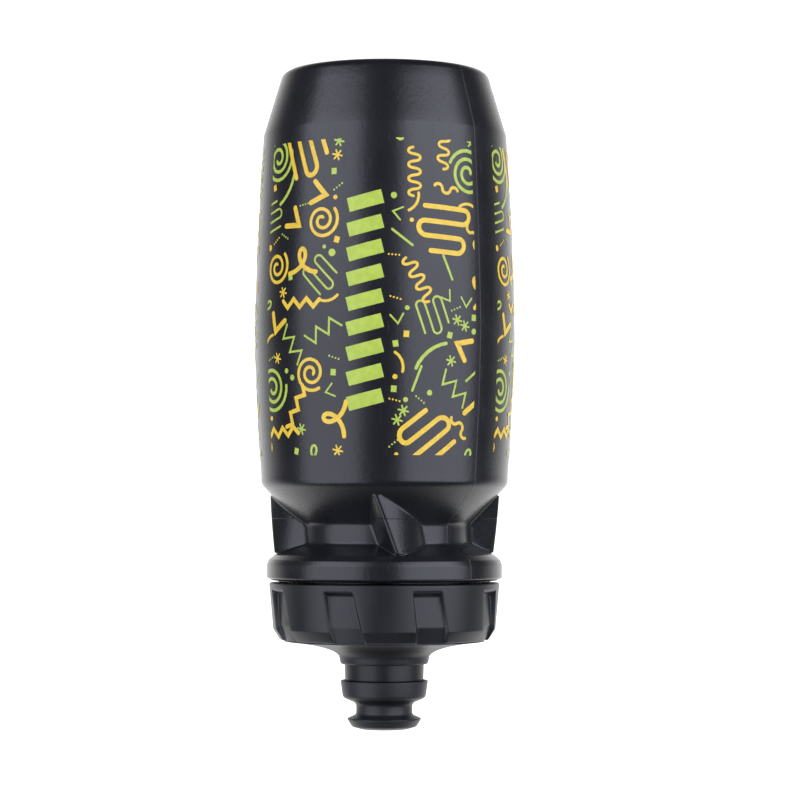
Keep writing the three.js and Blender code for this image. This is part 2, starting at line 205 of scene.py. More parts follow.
# %% A material and its nodes
class Finish:
    """A procedural material on one Principled shader."""

    def __init__(self, name, roughness, specular=0.5):
        self.material = bpy.data.materials.new(name)
        self.material.use_nodes = True
        self.tree = self.material.node_tree
        self.shader = self.tree.nodes["Principled BSDF"]
        self.shader.inputs["Roughness"].default_value = roughness
        self.shader.inputs["Specular IOR Level"].default_value = specular
        self.place = self.node("ShaderNodeTexCoord", {}, {}, "Object")

    def join(self, socket, value):
        if isinstance(value, Sum):
            self.tree.links.new(value.socket, socket)
        elif isinstance(value, tuple) and len(socket.default_value) == 4:
            socket.default_value = (*value[:3], 1)
        else:
            socket.default_value = value

    def node(self, kind, settings, values, output=0):
        """Adds a node: its settings first, then a value or a link on each socket."""
        made = self.tree.nodes.new(kind)
        for key, value in settings.items():
            setattr(made, key, value)
        for key, value in values.items():
            self.join(made.inputs[key], value)
        return Sum(self, made.outputs[output])

    def noise(self, cell, detail=2.0, roughness=0.5):
        """Cloudy noise whose lumps are about cell metres across."""
        values = {"Vector": self.place, "Scale": 1 / cell, "Detail": detail, "Roughness": roughness}
        return self.node("ShaderNodeTexNoise", {}, values, "Fac")

    def mix(self, mask, first, second):
        """A colour between two others."""
        values = {0: mask, 6: first, 7: second}
        return self.node("ShaderNodeMix", {"data_type": "RGBA"}, values, 2)

    def axes(self):
        split = self.node("ShaderNodeSeparateXYZ", {}, {0: self.place})
        sockets = split.socket.node.outputs
        return [Sum(self, sockets[key]) for key in ("X", "Y", "Z")]

    def paint(self, **sockets):
        """Feeds named sockets of the shader, such as Base_Color."""
        for key, value in sockets.items():
            self.join(self.shader.inputs[key.replace("_", " ")], value)

    def bump(self, height, depth):
        """Raises the surface by height, a number from 0 to 1, times depth in metres."""
        values = {"Height": height, "Distance": depth, "Strength": 1.0}
        self.paint(Normal=self.node("ShaderNodeBump", {}, values))


# %% [markdown]
# ## The plastics
# The blown body is soft polyethylene: satin, with the faint orange peel of the mould and a hair-fine
# parting line where the two halves of the mould met. The cap's ring is hard polypropylene, smoother and
# brighter. The dome and the mouthpiece are a matt elastomer. Each has cloudy changes of gloss, because
# even gloss is what makes rendered plastic look false.

# %% The satin body plastic
SEAM_TURN = math.radians(46)         # the parting line, from the front towards -X


def scuffed(finish, cell, amount):
    """Thin bright streaks, as handling leaves them: noise pulled out along a slant."""
    values = {"Vector": finish.place, "Rotation": (0.35, 0.2, 0.5), "Scale": (5.0, 5.0, 0.7)}
    pulled = finish.node("ShaderNodeMapping", {}, values)
    values = {"Vector": pulled, "Scale": 1 / cell, "Detail": 3.0}
    streaks = finish.node("ShaderNodeTexNoise", {}, values, "Fac")
    return streaks.step(0.62, 0.72) * amount


def body_plastic():
    finish = Finish("body_plastic", 0.27)
    clouds = finish.noise(14 * MM)
    peel = finish.noise(1.1 * MM, 1.0)
    grain = finish.noise(0.28 * MM, 2.0, 0.6)
    across, along, _ = finish.axes()
    offset = abs(across * math.cos(SEAM_TURN) - along * math.sin(SEAM_TURN))
    seam = 1 - offset.step(0.05 * MM, 0.22 * MM)
    colour = finish.mix(clouds.step(0.3, 0.7), (0.0062, 0.0064, 0.0088), (0.0084, 0.0087, 0.0115))
    gloss = 0.24 + clouds * 0.06 + scuffed(finish, 6 * MM, 0.08) + seam * 0.1
    finish.paint(Base_Color=colour, Roughness=gloss)
    finish.bump(peel * 0.5 + grain * 0.22 + seam * 0.9, 0.05 * MM)
    return finish.material


def cap_plastic():
    finish = Finish("cap_plastic", 0.36, 0.42)
    clouds = finish.noise(9 * MM)
    grain = finish.noise(0.35 * MM, 2.0)
    colour = finish.mix(clouds.step(0.3, 0.7), (0.0066, 0.0069, 0.0094), (0.0092, 0.0095, 0.0124))
    gloss = 0.34 + clouds * 0.06 + scuffed(finish, 4 * MM, 0.1)
    finish.paint(Base_Color=colour, Roughness=gloss)
    finish.bump(clouds * 0.5 + grain * 0.1, 0.03 * MM)
    return finish.material


def soft_skin():
    finish = Finish("soft_skin", 0.45, 0.45)
    clouds = finish.noise(7 * MM)
    grain = finish.noise(0.22 * MM, 3.0, 0.65)
    colour = finish.mix(clouds.step(0.3, 0.7), (0.0065, 0.0068, 0.0095), (0.0092, 0.0096, 0.0128))
    finish.paint(Base_Color=colour, Roughness=0.38 + clouds * 0.1 + grain * 0.06)
    finish.bump(grain, 0.022 * MM)
    return finish.material


def gasket_silicone():
    finish = Finish("gasket_silicone", 0.55)
    clouds = finish.noise(3 * MM)
    colour = finish.mix(clouds.step(0.2, 0.8), (0.55, 0.55, 0.52), (0.66, 0.66, 0.63))
    finish.shader.inputs["Subsurface Weight"].default_value = 0.2
    finish.shader.inputs["Subsurface Scale"].default_value = 1 * MM
    finish.paint(Base_Color=colour, Roughness=0.5 + clouds * 0.12)
    finish.bump(clouds, 0.02 * MM)
    return finish.material


def valve_plastic():
    finish = Finish("valve_plastic", 0.4, 0.37)
    clouds = finish.noise(6 * MM)
    rings = finish.noise(0.3 * MM, 2.0)
    colour = finish.mix(clouds.step(0.3, 0.7), (0.0066, 0.0069, 0.0094), (0.009, 0.0094, 0.012))
    finish.paint(Base_Color=colour, Roughness=0.36 + clouds * 0.1)
    finish.bump(rings, 0.02 * MM)
    return finish.material


def ink(name, full, thin):
    """Screen-printed ink, a little mottled where it lies thin."""
    finish = Finish(name, 0.42)
    mottle = finish.noise(2.2 * MM, 3.0, 0.6)
    mesh_marks = finish.noise(0.25 * MM, 1.0)
    colour = finish.mix(mottle.step(0.35, 0.65), full, thin)
    finish.paint(Base_Color=colour, Roughness=0.36 + mottle * 0.12)
    finish.bump(mottle * 0.4 + mesh_marks * 0.3, 0.015 * MM)
    return finish.material


FINISHES = {
    "body_plastic": body_plastic(),
    "cap_plastic": cap_plastic(),
    "soft_skin": soft_skin(),
    "gasket": gasket_silicone(),
    "valve_plastic": valve_plastic(),
    "yellow_ink": ink("yellow_ink", (0.80, 0.54, 0.035), (0.72, 0.47, 0.025)),
    "green_ink": ink("green_ink", (0.43, 0.55, 0.075), (0.37, 0.49, 0.055)),
}
print("finishes:", sorted(FINISHES))

# %% [markdown]
# ## Turning on a lathe
# Nearly every piece of a bottle is round. By hand one would draw half of its section, a vertex at a time,
# and spin it. The helpers below do the same. A section is a list of corners in millimetres, each with
# the radius that rounds it off, because moulded plastic has no sharp edge anywhere, and a light only
# catches an edge that is round.

# %% Sections with rounded corners
ARC_STEP = math.radians(12)


def rounded(corners, closed=True, longest=4.0):
    """Points along [radius, height, rounding] corners, with arcs in them and no stretch over longest."""
    count = len(corners)
    points = []
    for index, (radius, height, rounding) in enumerate(corners):
        here = Vector((radius, height))
        is_end = not closed and index in (0, count - 1)
        before = Vector(corners[index - 1][:2]) - here
        after = Vector(corners[(index + 1) % count][:2]) - here
        if is_end or rounding <= 0 or before.length < 1e-6 or after.length < 1e-6:
            points.append(here)
            continue
        opening = before.angle(after)
        reach = min(rounding / math.tan(opening / 2), before.length * 0.48, after.length * 0.48)
        size = reach * math.tan(opening / 2)
        start = here + before.normalized() * reach
        centre = here + (before.normalized() + after.normalized()).normalized() * size / math.sin(opening / 2)
        sweep = math.pi - opening
        turn = math.copysign(sweep, before.x * after.y - before.y * after.x) * -1
        pieces = max(1, math.ceil(sweep / ARC_STEP))
        for part in range(pieces + 1):
            spoke = start - centre
            angle = turn * part / pieces
            cosine, sine = math.cos(angle), math.sin(angle)
            turned_x = spoke.x * cosine - spoke.y * sine
            turned_y = spoke.x * sine + spoke.y * cosine
            points.append(centre + Vector((turned_x, turned_y)))
    if closed:
        points.append(points[0].copy())
    return divided(points, longest)


def divided(points, longest):
    """The same line with its long stretches cut into equal parts."""
    full = [points[0]]
    for point in points[1:]:
        gap = point - full[-1]
        if gap.length < 1e-5:
            continue
        pieces = max(1, math.ceil(gap.length / longest))
        start = full[-1]
        full += [start + gap * part / pieces for part in range(1, pieces + 1)]
    return full


# %% Drawing a section and spinning it
def start_piece(name):
    """Edit mode on a new object that holds one vertex at the origin."""
    bpy.ops.object.select_all(action="DESELECT")
    bpy.ops.mesh.primitive_plane_add(size=1 * MM, location=(0, 0, 0))
    piece = bpy.context.active_object
    piece.name = name
    bpy.ops.object.mode_set(mode="EDIT")
    bpy.ops.mesh.merge(type="CENTER")
    return piece


def draw_line(points):
    """Moves the selected vertex to the first point and extrudes it through the others."""
    bpy.ops.transform.translate(value=points[0] * MM)
    for here, there in zip(points, points[1:]):
        bpy.ops.mesh.extrude_region_move(TRANSFORM_OT_translate={"value": (there - here) * MM})


def finish_mesh(piece, smooth=35):
    """Merges doubles, turns the faces outwards and shades the piece smooth up to an angle."""
    bpy.ops.mesh.select_all(action="SELECT")
    bpy.ops.mesh.remove_doubles(threshold=0.002 * MM)
    bpy.ops.mesh.normals_make_consistent(inside=False)
    bpy.ops.object.mode_set(mode="OBJECT")
    bpy.ops.object.shade_smooth_by_angle(angle=math.radians(smooth))
    return piece


def turned(name, points, steps):
    """A section in the plane of X and Z, spun round the Z axis."""
    piece = start_piece(name)
    draw_line([Vector((point.x, 0, point.y)) for point in points])
    bpy.ops.mesh.select_all(action="SELECT")
    bpy.ops.mesh.spin(steps=steps, angle=math.tau, center=(0, 0, 0), axis=(0, 0, 1))
    return finish_mesh(piece)


def settle(piece, body, slot, *nodes, finish=None):
    """Gives a piece its finish and its body, and hides the plain solids that it stands for."""
    piece.data.materials.clear()
    piece.data.materials.append(FINISHES[finish or slot])
    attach(piece, body)
    if nodes:
        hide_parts(*nodes)
    print(piece.name, len(piece.data.polygons), "faces")


def size_of(node):
    """Outer radius, lowest and highest point of a round node, in millimetres."""
    low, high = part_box(node)
    return high[0] / MM, low[2] / MM, high[2] / MM


# %% [markdown]
# ## The screw threads
# A thread is one small section wound up a helix. The Screw modifier does that: it turns the section
# while it lifts it. Both ends then fade into the wall, as they do on a moulded bottle.

# %% A wound ridge
PITCH = 4.0
THREAD_TURNS = 1.5
THREAD_DEPTH = 1.1


def screw_ridge(name, wall, side, start):
    """A ridge on a wall of the given radius; side is 1 outwards and -1 inwards."""
    section = rounded([
        [wall - side * 0.4, start - 0.95, 0],
        [wall, start - 0.95, 0.2],
        [wall + side * THREAD_DEPTH, start - 0.4, 0.3],
        [wall + side * THREAD_DEPTH, start + 0.4, 0.3],
        [wall, start + 0.95, 0.2],
        [wall - side * 0.4, start + 0.95, 0],
    ])
    ridge = start_piece(name)
    draw_line([Vector((point.x, 0, point.y)) for point in section])
    bpy.ops.mesh.select_all(action="SELECT")
    bpy.ops.mesh.remove_doubles(threshold=0.002 * MM)
    bpy.ops.object.mode_set(mode="OBJECT")
    screw = ridge.modifiers.new("screw", "SCREW")
    screw.angle = THREAD_TURNS * math.tau
    screw.screw_offset = THREAD_TURNS * PITCH * MM
    screw.steps = screw.render_steps = int(THREAD_TURNS * 90)
    screw.use_merge_vertices = True
    bpy.ops.object.modifier_apply(modifier=screw.name)
    bpy.ops.object.mode_set(mode="EDIT")
    bpy.ops.mesh.select_all(action="DESELECT")
    bpy.ops.mesh.select_non_manifold(extend=False)
    bpy.ops.mesh.edge_face_add()
    finish_mesh(ridge)
    for vertex in ridge.data.vertices:
        radius = math.hypot(vertex.co.x, vertex.co.y)
        along = (vertex.co.z / MM - start) / (THREAD_TURNS * PITCH)
        ends = max(0.0, min(1.0, (along + 0.02) / 0.1, (1.02 - along) / 0.1))
        rise = side * (radius / MM - wall)
        if rise > 0:
            factor = (wall + side * rise * ends) * MM / radius
            vertex.co.x *= factor
            vertex.co.y *= factor
    return ridge


def join(whole, *others):
    """Puts other objects' meshes into one piece."""
    bpy.ops.object.select_all(action="DESELECT")
    for piece in (whole, *others):
        piece.select_set(True)
    bpy.context.view_layer.objects.active = whole
    bpy.ops.object.join()
    return whole


# %% [markdown]
# ## The bottle body
# The body is blown into a mould, so inside follows outside with an even wall. Its section is drawn from
# the middle of the base outwards, up the outside, over the lip of the mouth and down the inside. The
# barrel swells between a crease near the base and a round shoulder. Above it are the waist, which the
# bottle cage's tab catches, and a collar under the cap.

# %% The section of the body
belly, _, mouth_top = size_of("bottle_body")
BELLY_HEIGHT = 75.0
FOOT = 27.8
CREASE = 35.7
CREASE_HEIGHT = 18.8
SHOULDER = 36.1
SHOULDER_HEIGHT = 118.3
WAIST = 25.1
WAIST_LOW = 132.6
WAIST_HIGH = 138.3
COLLAR = 34.4
COLLAR_TOP = 148.9
SEAT = 31.0
NECK = 28.6
MOUTH = 26.0
WALL = 1.4


def swelling(start, end, bulge, steps):
    """Corners between two ends that bow outwards like a parabola."""
    corners = []
    for step in range(1, steps):
        part = step / steps
        radius = start[0] + (end[0] - start[0]) * part + bulge * 4 * part * (1 - part)
        corners.append([radius, start[1] + (end[1] - start[1]) * part, 0])
    return corners


def barrel(inset):
    """The side of the bottle from foot to collar, at a depth under the skin."""
    crease = [CREASE - inset, CREASE_HEIGHT]
    middle = [belly - inset, BELLY_HEIGHT]
    shoulder = [SHOULDER - inset, SHOULDER_HEIGHT]
    return [
        [FOOT - 2.6, inset, 0],
        [FOOT + 2.2 - inset, inset, 3.2],
        [*crease, 1.2],
        *swelling(crease, middle, 0.28, 10),
        [*middle, 0],
        *swelling(middle, shoulder, 0.3, 8),
        [*shoulder, 0],
        [SHOULDER - inset, SHOULDER_HEIGHT + 2.6, 6.2],
        [WAIST - inset, WAIST_LOW, 2.2],
        [WAIST - inset, WAIST_HIGH, 1.2],
        [WAIST + 7.1 - inset, WAIST_HIGH + 3.2, 2.8],
        [COLLAR - 0.55 - inset, 142.9, 0.5],
        [COLLAR - inset, 144.3, 1.0],
    ]


def body_section():
    outside = barrel(0) + [
        [COLLAR, COLLAR_TOP - 0.75, 0.5],
        [COLLAR - 1.3, COLLAR_TOP, 0.5],
        [SEAT, COLLAR_TOP, 0.15],
        [SEAT, COLLAR_TOP + 0.4, 0.2],
        [NECK, COLLAR_TOP + 0.4, 0.2],
        [NECK, mouth_top, 0.5],
        [MOUTH, mouth_top, 0.5],
    ]
    inside = [
        [MOUTH, COLLAR_TOP - 1.2, 1.0],
        [COLLAR - WALL, COLLAR_TOP - 1.4, 1.0],
        *reversed(barrel(WALL)),
    ]
    floor_up = 3.0
    return (
        [[0, floor_up - 0.6, 0], [6, floor_up - 0.4, 4], [20, floor_up, 2.0]]
        + outside + inside
        + [[20, floor_up + WALL, 1.0], [0, floor_up + WALL - 0.6, 0]]
    )


RIB_ZONE = (118.8, 146.5)            # heights between which the mesh is fine enough for the ribs
ROW_STEP = 0.45                      # distance between rows there


def body_rows():
    """The section's points, with close rows where the ribs stand."""
    points = rounded(body_section(), closed=False, longest=4.0)
    full = [points[0]]
    for point in points[1:]:
        middle = (point.y + full[-1].y) / 2
        outside = point.x > WAIST - 0.1 and RIB_ZONE[0] < middle < RIB_ZONE[1]
        full += divided([full[-1], point], ROW_STEP if outside else 4.0)[1:]
    return full


# %% Spin the body
BODY_STEPS = 240
body_points = body_rows()
body = turned("body", body_points, BODY_STEPS)
print("body rows:", len(body_points))

# %% [markdown]
# ## The ribs of the waist
# Four fins bridge the waist, and all lean the same way. Fins cut in with a boolean would meet the waist
# in a hard line. Instead the spun mesh itself is pulled out: its columns are first crowded together and
# leant over so that they run along each fin, and then every vertex moves out to whichever is larger,
# the round wall or the fin. A soft maximum of the two leaves the small hollow that a mould would have.

# %% Pull the ribs out of the waist
RIBS = 4
RIB_LEAN = math.tan(math.radians(19.4))
RIB_TURN = math.radians(1.9)
RIB_LOW = 124.3
RIB_HIGH = 140.9
RIB_CREST_LOW = 33.6
RIB_CREST_HIGH = 32.3
RIB_FLAT = 0.55
RIB_REACH = 30.0                     # radius at which widths across a rib are measured
RIB_NEAR_SLOPE = 1.75
RIB_FAR_SLOPE = 0.7
RIB_CROWDING = 0.62


def soft_max(first, second, blend):
    """The larger of two lengths, with the step between them rounded over blend."""
    part = max(0.0, min(1.0, 0.5 + 0.5 * (first - second) / blend))
    return second + (first - second) * part + blend * part * (1 - part)


def rib_radius(offset, height):
    """How far a rib reaches at an offset across it and a height."""
    crest = RIB_CREST_LOW + (RIB_CREST_HIGH - RIB_CREST_LOW) * (height - RIB_LOW) / (RIB_HIGH - RIB_LOW)
    slope = RIB_FAR_SLOPE if offset > 0 else RIB_NEAR_SLOPE
    fall = slope * soft_max(abs(offset) - RIB_FLAT, 0, 0.35)
    ends = max(0.0, RIB_LOW - height, height - RIB_HIGH) * 3.5
    return crest - fall - ends


def pull_ribs(piece):
    period = math.tau / RIBS
    middle = (RIB_LOW + RIB_HIGH) / 2
    for vertex in piece.data.vertices:
        radius = math.hypot(vertex.co.x, vertex.co.y) / MM
        height = vertex.co.z / MM
        if radius < 1:
            continue
        angle = math.atan2(-vertex.co.x, -vertex.co.y)
        nearest = round(angle / period) * period
        part = angle - nearest
        part -= RIB_CROWDING * math.sin(RIBS * part) / RIBS
        offset = RIB_REACH * math.sin(part)
        lean = max(RIB_LOW - 2, min(RIB_HIGH + 2, height)) - middle
        is_outside = radius > WAIST - 0.1 and RIB_ZONE[0] < height < RIB_ZONE[1]
        if is_outside and abs(part) < 0.7:
            radius = soft_max(rib_radius(offset, height), radius, 0.7)
        twist = nearest + RIB_TURN + part + lean * RIB_LEAN / RIB_REACH
        vertex.co.x = -radius * math.sin(twist) * MM
        vertex.co.y = -radius * math.cos(twist) * MM


pull_ribs(body)
neck_thread = screw_ridge("neck_thread", NECK, 1, 153.6)
body = join(body, neck_thread)
settle(body, "bottle", "body_plastic", "bottle_body")

# %% [markdown]
# ## The cap
# The cap's ring is gripped by eight finger recesses that lean like the ribs. As on the waist, the spun
# mesh is reshaped: most columns gather at the side walls of the recesses, so the walls are steep and
# their edges crisp while the plain land between needs only a few.

# %% The section of the cap
cap_low_radius, cap_low, _ = size_of("screw_cap")
CAP_HIGH = 166.2
CAP_HIGH_RADIUS = 32.5
CAP_BORE = NECK + THREAD_DEPTH + 0.35
DECK_LOW = mouth_top + 1.2
DOME_RADIUS = 29.2
POST_HOLE = 12.1
_, dome_low, dome_top = size_of("cap_dome")
DOME_TOP_RADIUS = 12.7
DOME_THICKNESS = 1.5


def dome_curve(depth, steps):
    """The sweep of the dome from its rim to the post, at a depth under its skin."""
    rim = Vector((DOME_RADIUS, CAP_HIGH + 0.5 - depth))
    knee = Vector((15.0, CAP_HIGH + 2.0 - depth))
    top = Vector((DOME_TOP_RADIUS + 0.55 - depth * 0.1, dome_top - 2.3 - depth))
    corners = []
    for step in range(steps + 1):
        part = step / steps
        point = rim * (1 - part) ** 2 + knee * 2 * part * (1 - part) + top * part ** 2
        corners.append([point.x, point.y, 0])
    return corners


def cap_section():
    cone = dome_curve(DOME_THICKNESS, 12)
    return [
        [POST_HOLE, 166.8, 0.2],
        [14.9, 166.8, 0.2],
        [14.9, 165.2, 0.2],
        [21.9, DECK_LOW, 0.4],
        [CAP_BORE, DECK_LOW, 0.4],
        [CAP_BORE, cap_low + 0.6, 0.2],
        [CAP_BORE + 0.6, cap_low, 0.2],
        [cap_low_radius, cap_low, 0.45],
        [CAP_HIGH_RADIUS, CAP_HIGH - 3.2, 0.9],
        [CAP_HIGH_RADIUS - 2.0, CAP_HIGH, 0.5],
        [DOME_RADIUS + 0.1, CAP_HIGH, 0.15],
        *cone,
        [POST_HOLE, cone[-1][1], 0],
    ]


# %% Sink the recesses
RECESSES = 8
CAP_COLUMNS = 40                     # columns for each recess and its land
RECESS_DEPTH = 2.1
RECESS_HALF = 4.4
RECESS_FLARE = 0.75
RECESS_LOW = 151.9
RECESS_LEAN = math.tan(math.radians(10))
RECESS_TURN = math.radians(1.4)
FLOOR_BEND = 161.6
WALL_COLUMNS = (7, 13)


def column_offset(column, half, land):
    """Where a column goes across the recess, with its closest neighbours on the side wall."""
    first, last = WALL_COLUMNS
    near, far = half - 0.55, half + 0.35
    if column <= first:
        return near * column / first
    if column <= last:
        return near + (far - near) * (column - first) / (last - first)
    return far + (land - far) * (column - last) / (CAP_COLUMNS / 2 - last)


def smooth(value, low, high):
    part = max(0.0, min(1.0, (value - low) / (high - low)))
    return part * part * (3 - 2 * part)


def recess_floor(height):
    return cap_low_radius - RECESS_DEPTH - max(0.0, height - FLOOR_BEND) * 0.36


def sink_recesses(piece):
    period = math.tau / RECESSES
    middle = (cap_low + CAP_HIGH) / 2
    for vertex in piece.data.vertices:
        radius = math.hypot(vertex.co.x, vertex.co.y) / MM
        height = vertex.co.z / MM
        angle = math.atan2(-vertex.co.x, -vertex.co.y) - period / 2
        nearest = round(angle / period) * period
        column = (angle - nearest) / period * CAP_COLUMNS
        half = RECESS_HALF + RECESS_FLARE * (height - RECESS_LOW) / (CAP_HIGH - RECESS_LOW)
        offset = column_offset(abs(column), half, 33.0 * period / 2)
        is_skin = radius > CAP_BORE + 0.75 or (height > CAP_HIGH - 0.9 and radius > DOME_RADIUS + 0.2)
        if is_skin and radius > recess_floor(height):
            across = 1 - smooth(offset, half - 0.5, half + 0.25)
            up = smooth(height, RECESS_LOW - 0.5, RECESS_LOW + 1.0)
            radius -= (radius - recess_floor(height)) * across * up
        twist = nearest + period / 2 + RECESS_TURN + math.copysign(offset, column) / 33.0
        twist += (height - middle) * RECESS_LEAN / 33.0
        vertex.co.x = -radius * math.sin(twist) * MM
        vertex.co.y = -radius * math.cos(twist) * MM


def cap_rows():
    points = rounded(cap_section(), longest=4.0)
    full = [points[0]]
    for point in points[1:]:
        is_skin = min(point.x, full[-1].x) > CAP_BORE + 0.7
        full += divided([full[-1], point], 0.4 if is_skin else 4.0)[1:]
    return full


ring = turned("cap_ring", cap_rows(), RECESSES * CAP_COLUMNS)
sink_recesses(ring)
ring = join(ring, screw_ridge("cap_thread", CAP_BORE, -1, 153.6 - PITCH / 2))
settle(ring, "cap", "cap_plastic", "screw_cap")

# %% [markdown]
# ## Dome, gasket, post and valve
# The rest is plain turning. The dome is a soft skin over the cap's deck, and its small lip ends just
# short of the post. The post is fixed, and the mouthpiece slides on it with its hard core inside. The
# drinking hole is plugged by a pin that three spokes hold in the middle of the post.

# %% The soft dome
DOME_STEPS = 192
outer_dome = dome_curve(0, 20)
inner_dome = list(reversed(dome_curve(DOME_THICKNESS - 0.1, 12)))
dome_section = [
    [POST_HOLE, inner_dome[0][1], 0],
    *inner_dome,
    *outer_dome,
    [DOME_TOP_RADIUS + 0.12, dome_top - 0.35, 0.25],
    [DOME_TOP_RADIUS - 0.15, dome_top, 0.2],
    [POST_HOLE, dome_top, 0.1],
]
dome = turned("dome", rounded(dome_section, longest=1.0), DOME_STEPS)
settle(dome, "cap", "soft_skin", "cap_dome")

# %% The gasket
gasket_radius, gasket_low, gasket_high = size_of("cap_gasket")
gasket = turned("gasket", rounded([
    [MOUTH - 1.5, gasket_low, 0.3],
    [gasket_radius, gasket_low, 0.3],
    [gasket_radius, gasket_high, 0.3],
    [MOUTH - 1.5, gasket_high, 0.3],
]), 128)
settle(gasket, "cap_carrier", "gasket", "cap_gasket")

# %% The post with its spokes and pin
POST_LOW_RADIUS = 11.8
POST_HIGH_RADIUS = 11.45
POST_TOP = 178.5
POST_BORE = 9.4
flange_radius, post_low, pin_top = size_of("nozzle_post")
PIN = 2.4
post = turned("post", rounded([
    [POST_BORE, post_low, 0.2],
    [flange_radius, post_low, 0.2],
    [flange_radius, post_low + 1.2, 0.2],
    [POST_LOW_RADIUS, post_low + 1.2, 0.2],
    [POST_HIGH_RADIUS, POST_TOP - 0.5, 0.2],
    [POST_HIGH_RADIUS - 0.7, POST_TOP, 0.2],
    [8.6, POST_TOP, 0.3],
    [8.6, POST_TOP - 1.8, 0.2],
    [POST_BORE, POST_TOP - 1.8, 0.2],
], longest=2.0), 128)
pin = turned("pin", rounded([
    [0, post_low, 0],
    [PIN + 0.6, post_low, 0.3],
    [PIN, post_low + 3.0, 1.0],
    [PIN, pin_top - 0.7, 0.4],
    [PIN - 0.7, pin_top, 0.4],
    [0, pin_top, 0],
], closed=False, longest=2.0), 64)


def spoke(turn):
    """A flat leg from the post's wall to the pin, with its edges bevelled."""
    bpy.ops.object.select_all(action="DESELECT")
    length = POST_BORE + 0.3
    bpy.ops.mesh.primitive_cube_add(size=1, location=(0, 0, 0))
    leg = bpy.context.active_object
    bpy.ops.object.mode_set(mode="EDIT")
    bpy.ops.transform.resize(value=(length * MM, 1.4 * MM, 2.4 * MM))
    bpy.ops.transform.translate(value=(length / 2 * MM, 0, (post_low + 1.2) * MM))
    bpy.ops.mesh.bevel(offset=0.3 * MM, segments=3, affect="EDGES")
    bpy.ops.mesh.select_all(action="SELECT")
    bpy.ops.transform.rotate(value=-turn, orient_axis="Z", center_override=(0, 0, 0))
    bpy.ops.object.mode_set(mode="OBJECT")
    return leg


legs = [spoke(math.radians(30 + 120 * index)) for index in range(3)]
post = join(post, pin, *legs)
settle(post, "cap", "valve_plastic", "nozzle_post")

# %% The sliding core
barb_radius, core_low, core_high = size_of("valve_core")
CORE = 8.25
CORE_NECK = 6.6
CORE_BORE = 5.3
BARB_TOP = 176.4
ROOF = 182.5
core = turned("core", rounded([
    [CORE_BORE, core_low, 0.2],
    [CORE, core_low, 0.3],
    [CORE, BARB_TOP - 1.5, 0.2],
    [barb_radius, BARB_TOP - 0.5, 0.15],
    [barb_radius, BARB_TOP, 0.1],
    [CORE, BARB_TOP, 0.1],
    [CORE, ROOF - 0.1, 0.3],
    [CORE_NECK, ROOF - 0.1, 0.2],
    [CORE_NECK, core_high - 1.4, 0.2],
    [7.9, core_high - 0.8, 0.2],
    [7.9, core_high - 0.5, 0.2],
    [CORE_NECK + 0.4, core_high, 0.2],
    [CORE_BORE, core_high, 0.2],
], longest=2.0), 128)
settle(core, "valve", "valve_plastic", "valve_core")

# %% The mouthpiece
skirt, skirt_low, tip = size_of("mouthpiece")
SKIRT_TOP = 12.1
SKIRT_HIGH = 183.0
BITE = 8.2
LIP = 10.8
LIP_HEIGHT = 189.35
HOLE = 2.75
mouthpiece = turned("mouthpiece_skin", rounded([
    [skirt - 0.6, skirt_low, 0.15],
    [skirt, skirt_low, 0.3],
    [SKIRT_TOP, SKIRT_HIGH + 0.05, 1.4],
    [BITE, SKIRT_HIGH + 1.75, 1.5],
    [BITE, LIP_HEIGHT - 1.35, 1.1],
    [LIP, LIP_HEIGHT - 0.2, 0.22],
    [LIP - 0.1, LIP_HEIGHT + 0.15, 0.2],
    [LIP - 1.35, tip - 0.75, 1.2],
    [LIP - 3.9, tip, 2.5],
    [HOLE, tip, 0.45],
    [HOLE, core_high + 0.7, 0.2],
    [CORE_BORE, core_high + 0.1, 0.1],
    [8.0, core_high + 0.1, 0.1],
    [8.0, core_high - 0.9, 0.1],
    [CORE_NECK + 0.1, core_high - 1.6, 0.1],
    [CORE_NECK + 0.1, ROOF, 0.1],
    [SKIRT_TOP - 1.2, ROOF, 0.3],
    [SKIRT_TOP - 0.55, ROOF - 0.8, 0.3],
], longest=1.0), 160)
settle(mouthpiece, "valve", "soft_skin", "mouthpiece")

# %% [markdown]
# ## The print
# The barrel is printed three times round with the same sheet of loose marks: squiggles, spirals, dots
# and stars in two inks, and a column of slanted bars. A mark is a stroke: a centre line from a short
# formula, and a width. The marks are of common kinds, and where each goes is left to seeded dice that
# keep them apart, large ones first. The sheet is laid out flat in millimetres, with the distance round
# the barrel across it and the height along it. It is trimmed with four cuts, given the thickness of
# ink, and then wrapped on the skin.

# %% Centre lines of the marks
def bar(length):
    return [Vector((-length / 2, 0)), Vector((length / 2, 0))]


def wave(length, crests, height):
    """A wavy line whose crests are rounder than a sine's."""
    count = max(12, int(crests * 18))
    round_off = 0.3 * length / crests / math.tau
    return [
        Vector((length * (step / count - 0.5) - round_off * math.sin(2 * math.tau * crests * step / count),
                height / 2 * math.sin(math.tau * crests * step / count)))
        for step in range(count + 1)
    ]


def zigzag(length, teeth, height):
    count = int(teeth * 2)
    return [
        Vector((length * (step / count - 0.5), height * (0.5 if step % 2 else -0.5)))
        for step in range(count + 1)
    ]


def spiral(turns, radius, start=0.0):
    count = int(turns * 26)
    points = []
    for step in range(count + 1):
        part = step / count
        angle = math.radians(start) + math.tau * turns * part
        points.append(Vector((math.cos(angle), math.sin(angle))) * radius * (1 - 0.86 * part))
    return points


def arc(radius, sweep):
    count = max(6, int(abs(sweep) / 9))
    points = []
    for step in range(count + 1):
        angle = math.radians(sweep * (step / count - 0.5))
        points.append(Vector((radius * math.sin(angle), radius * (1 - math.cos(angle)))))
    return points


